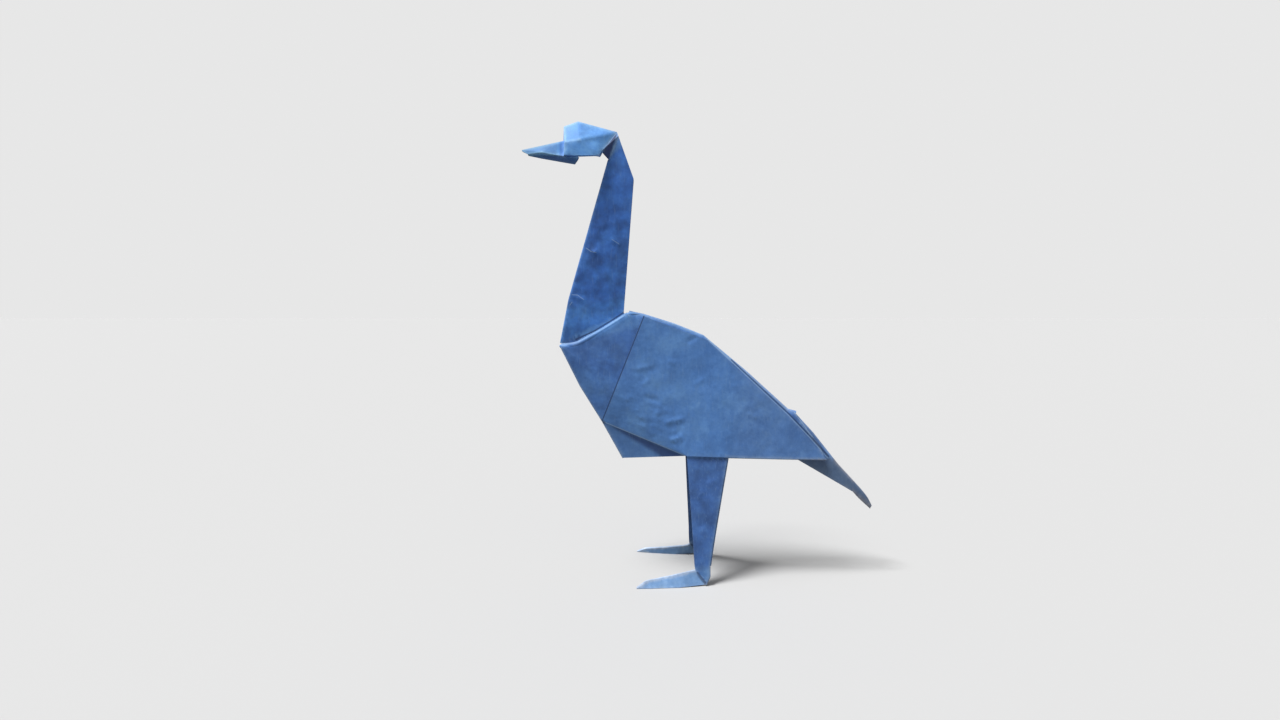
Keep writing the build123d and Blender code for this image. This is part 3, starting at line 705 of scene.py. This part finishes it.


# The paper's colour: its dye, fibres and wear, with painted light and shade, painted edge highlights and
# painted crevice shadows
def paperColourWithPaintedLight(tree, place, patterns, settings):
    mixed = addNode(tree, "ShaderNodeMix", {"data_type": "FLOAT"}, {0: settings["mottleShare"]},
                    {2: patterns["cloud"], 3: patterns["mottle"]})
    dye = addNode(tree, "ShaderNodeValToRGB", None, None, {0: mixed.outputs[0]})
    ramp = dye.color_ramp
    ramp.elements[0].position = settings["tonePlaces"]["dark"]
    ramp.elements[0].color = linearColour(settings["dark"])
    ramp.elements[1].position = settings["tonePlaces"]["light"]
    ramp.elements[1].color = linearColour(settings["light"])
    ramp.elements.new(settings["tonePlaces"]["middle"]).color = linearColour(settings["middle"])

    # Worn pale in patches along the folds
    paleWearAndHighlight = addNode(tree, "ShaderNodeAttribute", {"attribute_name": "foldWear"})
    patchy = addNode(tree, "ShaderNodeMath", {"operation": "MULTIPLY"}, None,
                     {0: paleWearAndHighlight.outputs["Fac"], 1: patterns["mottle"]})
    handled = addNode(tree, "ShaderNodeMix", {"data_type": "RGBA"}, {7: linearColour(settings["paleWearAndHighlight"])},
                      {0: patchy.outputs[0], 6: dye.outputs[0]})

    # The painted light and shade, and dye blotches as strong as their alpha says
    paintedShade = addNode(tree, "ShaderNodeAttribute", {"attribute_name": "paintedShadeAndBlotch"})
    shadedPaper = addNode(tree, "ShaderNodeMix", {"data_type": "RGBA", "blend_type": "MULTIPLY"}, {0: 1.0},
                    {6: handled.outputs[2], 7: paintedShade.outputs["Color"]})
    low, high = settings["blotchRange"]
    spread = addNode(tree, "ShaderNodeMapRange", None,
                     {1: low, 2: high, 3: -settings["blotchDepth"], 4: settings["blotchDepth"]},
                     {0: patterns["blotch"]})
    level = addNode(tree, "ShaderNodeMath", {"operation": "MULTIPLY_ADD"}, {2: 1.0},
                    {0: spread.outputs[0], 1: paintedShade.outputs["Alpha"]})
    clouded = addNode(tree, "ShaderNodeVectorMath", {"operation": "SCALE"}, None,
                      {0: shadedPaper.outputs[2], "Scale": level.outputs[0]})

    # Pale fibres that run up and down, and painted highlights along edges and crease ridges, partly pale
    # rubbed wear
    across, along = 1 / settings["fibreWidth"], 1 / settings["fibreLength"]
    stretched = addNode(tree, "ShaderNodeVectorMath", {"operation": "MULTIPLY"},
                        {1: (across, across, along)}, {0: place})
    fibres = addNode(tree, "ShaderNodeTexNoise", None, {"Scale": 1.0, "Detail": settings["fibreDetail"]},
                     {"Vector": stretched.outputs[0]})
    low, high = settings["fibreRange"]
    pale = addNode(tree, "ShaderNodeMapRange", None,
                   {1: low, 2: high, 3: 0.0, 4: settings["fibrePaleness"]}, {0: fibres.outputs[0]})
    edgeHighlights = addNode(tree, "ShaderNodeMath", {"operation": "MULTIPLY"}, {1: settings["edgeHighlightPaleness"]},
                     {0: lineMask(tree, place, drawnLines["edges"])})
    lightened = addNode(tree, "ShaderNodeMath", {"operation": "MAXIMUM"}, None,
                        {0: pale.outputs[0], 1: edgeHighlights.outputs[0]})
    streaked = addNode(tree, "ShaderNodeMix", {"data_type": "RGBA"}, {7: linearColour(settings["paleWearAndHighlight"])},
                       {0: lightened.outputs[0], 6: clouded.outputs[0]})

    # Painted shadows in the slits and crevices between layers
    creviceShadowMask = addNode(tree, "ShaderNodeMath", {"operation": "MULTIPLY"}, {1: settings["creviceShadowDarkness"]},
                    {0: lineMask(tree, place, drawnLines["creviceShadows"])})
    creviceShadow = addNode(tree, "ShaderNodeMix", {"data_type": "RGBA"}, {7: linearColour(settings["creviceShadow"])},
                   {0: creviceShadowMask.outputs[0], 6: streaked.outputs[2]})
    return creviceShadow.outputs[2]


def paperMaterial(settings):
    material = bpy.data.materials.new("dyedCraftPaper")
    material.use_nodes = True
    tree = material.node_tree
    shader = tree.nodes["Principled BSDF"]
    shader.inputs["IOR"].default_value = settings["ior"]
    shader.inputs["Sheen Weight"].default_value = settings["sheen"]
    shader.inputs["Sheen Roughness"].default_value = settings["sheenRoughness"]
    place = addNode(tree, "ShaderNodeTexCoord").outputs["Object"]
    patterns = {}
    for name, (size, detail, roughness) in settings["patterns"].items():
        noise = addNode(tree, "ShaderNodeTexNoise", None,
                        {"Scale": 1 / size, "Detail": detail, "Roughness": roughness}, {"Vector": place})
        patterns[name] = noise.outputs[0]
    tree.links.new(paperColourWithPaintedLight(tree, place, patterns, settings), shader.inputs["Base Color"])
    smoothest, roughest = settings["roughness"]
    gloss = addNode(tree, "ShaderNodeMapRange", None, {3: smoothest, 4: roughest}, {0: patterns["mottle"]})
    tree.links.new(gloss.outputs[0], shader.inputs["Roughness"])
    height = addNode(tree, "ShaderNodeMix", {"data_type": "FLOAT"}, {0: settings["grainShare"]},
                     {2: patterns["crinkle"], 3: patterns["grain"]})
    bump = addNode(tree, "ShaderNodeBump", None,
                   {"Strength": settings["grainStrength"], "Distance": settings["grainDepth"]},
                   {"Height": height.outputs[0]})
    tree.links.new(bump.outputs[0], shader.inputs["Normal"])
    return material


def puckerStrength(points, settings):
    strength = np.full(len(points), settings["smoothPlaces"])
    for x, z, size, high in settings["puckeredPlaces"]:
        near = np.hypot(points[:, 0] - x * mm, points[:, 2] - z * mm) / (size * mm)
        strength = np.maximum(strength, high * np.exp(-near ** 2))
    return strength


def foldedPaper(settings, material):
    points, panels, folds, cuts, bends = refinedSheet(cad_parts["folded_sheet"], settings)
    away = distancesTo(points, folds + cuts + bends)
    weight = smoothStep(settings["stillNear"], settings["softFrom"], away)
    points = softened(points, panels, weight, settings["softenings"])
    fromFold, fromCut = distancesTo(points, folds), distancesTo(points, cuts)
    points = pressCreases(springOpen(points, sprung), creases)
    print("sheet softened and creased:", len(panels), "triangles")

    rollPoints, rollPanels = rolledRim(rimRoll)
    fromFold = np.concatenate([fromFold, distancesTo(rollPoints, folds)])
    fromCut = np.concatenate([fromCut, distancesTo(rollPoints, cuts)])
    away = np.concatenate([away, np.full(len(rollPoints), settings["rollDistance"])])
    panels = np.vstack([panels, rollPanels + len(points)])
    points = np.vstack([points, rollPoints])
    print("rim rolled:", len(rollPanels), "triangles")

    mesh = bpy.data.meshes.new("foldedPaper")
    mesh.from_pydata(points, [], panels)
    piece = bpy.data.objects.new("foldedPaper", mesh)
    scene.collection.objects.link(piece)
    alongFolds, alongCuts = (np.exp(-(d / settings["wearReach"]) ** 2) for d in (fromFold, fromCut))
    wear = np.maximum(alongFolds, settings["cutWear"] * alongCuts)
    openness = smoothStep(settings["flatNear"], settings["puckeredFrom"], away)
    openness = openness * puckerStrength(points, settings)
    for name, values in (("foldWear", wear), ("openPaper", openness)):
        mesh.attributes.new(name, "FLOAT", "POINT").data.foreach_set("value", values.astype(np.float32))
    # The painted light and shade, and in the alpha how blotchy the dye is
    paintedShadeColours = mesh.attributes.new("paintedShadeAndBlotch", "FLOAT_COLOR", "POINT")
    paintedShadeColours.data.foreach_set("color", paintLightShadeAndBlotches(points, paintedLightAndShade).astype(np.float32).ravel())
    mesh.update()
    applyRelief(piece, reliefTree(settings, material), {
        "Pucker height": settings["puckerHeight"],
        "Pucker size": settings["puckerSize"],
        "Wave height": settings["waveHeight"],
        "Wave size": settings["waveSize"],
        "Seed": settings["seed"],
    })
    piece.data.shade_smooth()
    piece.data.set_sharp_from_angle(angle=settings["foldAngle"])
    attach(piece, "root")
    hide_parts("folded_sheet")
    return piece


scene.view_settings.view_transform = "Standard"
addCamera(viewPoint)
addFloor(studio)
addSkyAndLamp(studio)
print("camera and studio done")
craftPaper = paperMaterial(dyedPaper)
print("paper material done")
paper = foldedPaper(paperForm, craftPaper)
print("paper done:", len(paper.data.polygons), "triangles")
